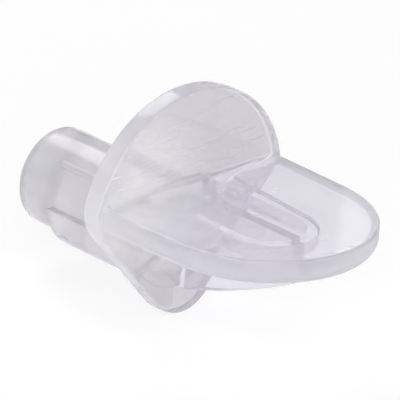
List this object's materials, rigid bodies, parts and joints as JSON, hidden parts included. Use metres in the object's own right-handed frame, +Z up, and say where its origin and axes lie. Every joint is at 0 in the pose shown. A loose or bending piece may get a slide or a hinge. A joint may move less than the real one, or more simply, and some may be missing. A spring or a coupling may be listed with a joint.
{
  "type": "shelf support pin",
  "caption": "Clear plastic shelf pin: a push-in peg with crush ribs, an upright flange and a round-ended tongue that carries the shelf.",
  "frame": {"origin": "on the peg axis, at the flange's back face: the centre of the hole's mouth in the cabinet side", "axes": "+X out along the tongue into the cabinet (the peg runs along -X), +Y across the tongue's width, +Z up, out of the face the shelf rests on"},
  "size_m": [0.0218, 0.0136, 0.0129],
  "materials": {
    "clear_plastic": "clear with a faint violet-grey cast, glossy, lightly scratched"
  },
  "bodies": {
    "root": {"shelf_pin": "clear_plastic"}
  },
  "joints": []
}
